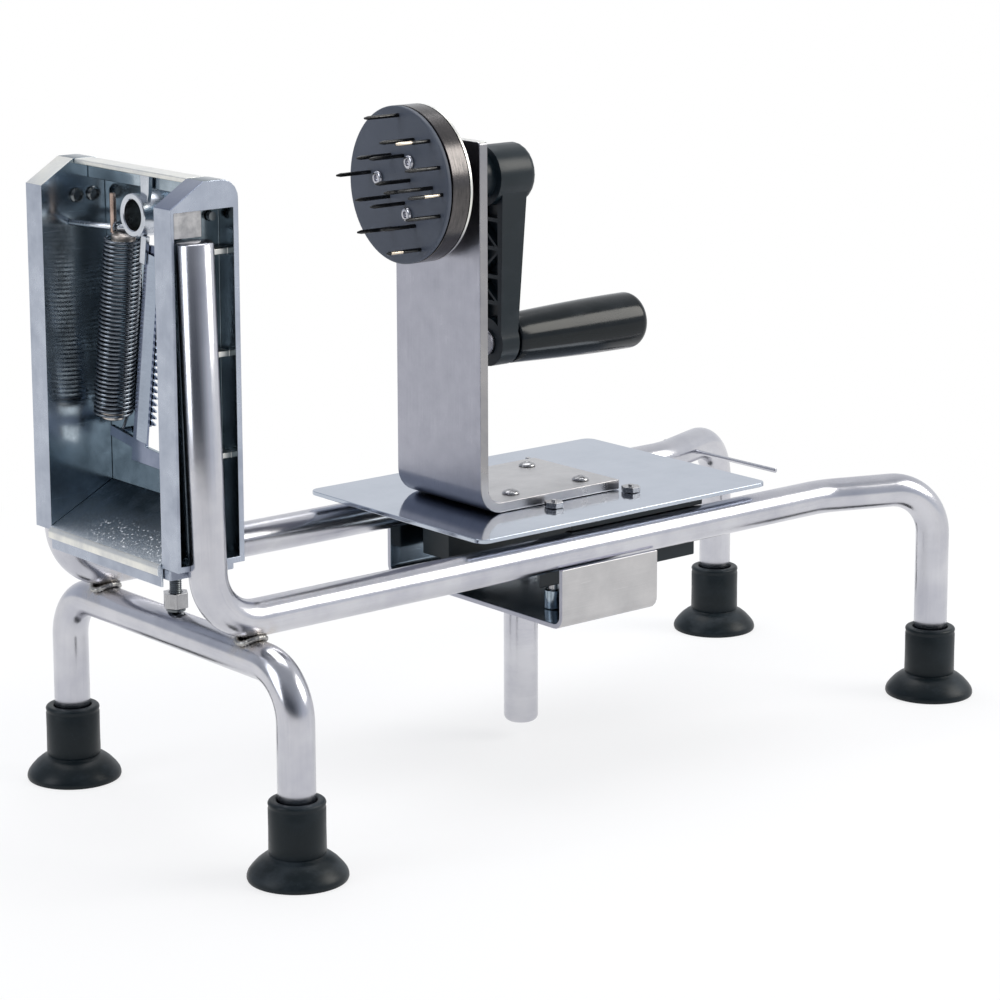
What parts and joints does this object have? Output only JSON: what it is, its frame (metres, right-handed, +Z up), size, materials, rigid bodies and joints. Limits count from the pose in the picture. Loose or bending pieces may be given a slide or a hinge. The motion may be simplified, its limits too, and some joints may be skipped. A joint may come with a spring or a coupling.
{
  "type": "spiral vegetable slicer",
  "caption": "Table-top spiral vegetable slicer: tubular rails on suction feet, upright blade box, sliding carriage and a cranked pronged disc.",
  "frame": {"origin": "middle of the footprint on the table, under the box's centre in X and Y", "axes": "+X along the rails from the blade box towards the crank grip, +Y across the rails, away from the side seen in the picture, +Z up"},
  "size_m": [0.4484, 0.2134, 0.3024],
  "materials": {
    "tube_steel": "bright polished tube",
    "polished_steel": "polished",
    "brushed_steel": "brushed",
    "spring_steel": "drawn wire",
    "black_rubber": "moulded, matt",
    "black_plastic": "moulded, satin",
    "grey_face": "smooth, dark grey"
  },
  "bodies": {
    "frame": {"near_rail": "tube_steel", "far_rail": "tube_steel", "cross_leg": "tube_steel", "near_weld": "tube_steel", "far_weld": "tube_steel", "left_near_foot": "black_rubber", "left_far_foot": "black_rubber", "right_near_foot": "black_rubber", "right_far_foot": "black_rubber", "near_cheek": "polished_steel", "far_cheek": "polished_steel", "back_wall": "polished_steel", "top_strap": "polished_steel", "chute_floor": "polished_steel", "coring_tube": "polished_steel", "blade_carrier": "polished_steel", "flat_blade": "polished_steel", "near_wall_screw_1": "brushed_steel", "near_wall_screw_2": "brushed_steel", "far_wall_screw_1": "brushed_steel", "far_wall_screw_2": "brushed_steel", "base_plate": "brushed_steel", "base_stud": "brushed_steel", "base_stud_nut": "brushed_steel", "carrier_post_1": "brushed_steel", "carrier_post_2": "brushed_steel", "comb_blade": "brushed_steel", "spring_rod": "brushed_steel", "tension_spring": "spring_steel"},
    "carriage": {"carriage_plate": "polished_steel", "rivet_1": "polished_steel", "rivet_2": "polished_steel", "rivet_3": "polished_steel", "rivet_4": "polished_steel", "near_block": "black_plastic", "far_block": "black_plastic", "bush": "black_plastic", "lower_channel": "brushed_steel", "near_guide_screw_1": "brushed_steel", "near_guide_screw_2": "brushed_steel", "far_guide_screw_1": "brushed_steel", "far_guide_screw_2": "brushed_steel", "near_sleeve": "brushed_steel", "far_sleeve": "brushed_steel", "bracket": "brushed_steel", "push_handle": "tube_steel"},
    "crank": {"disc_face": "grey_face", "disc_backing": "polished_steel", "disc_screw_1": "polished_steel", "disc_screw_2": "polished_steel", "disc_screw_3": "polished_steel", "spindle": "tube_steel", "crank_arm": "black_plastic", "crank_nut": "brushed_steel", "grip_pin": "brushed_steel"},
    "grip": {"grip": "black_plastic"},
    "stop_pin": {"stop_wire": "tube_steel"}
  },
  "joints": [
    {"name": "carriage_slide", "type": "slide", "parent": "frame", "child": "carriage", "axis": [1, 0, 0], "range_m": [-0.088, 0.098]},
    {"name": "crank_spin", "type": "hinge", "parent": "carriage", "child": "crank", "pos_m": [-0.04355, 0, 0.2673], "axis": [1, 0, 0], "continuous": true},
    {"name": "grip_spin", "type": "hinge", "parent": "crank", "child": "grip", "pos_m": [-0.00315, 0, 0.191], "axis": [1, 0, 0], "continuous": true},
    {"name": "stop_wire_slide", "type": "slide", "parent": "frame", "child": "stop_pin", "axis": [0, 1, 0], "range_m": [0, 0.05]}
  ]
}
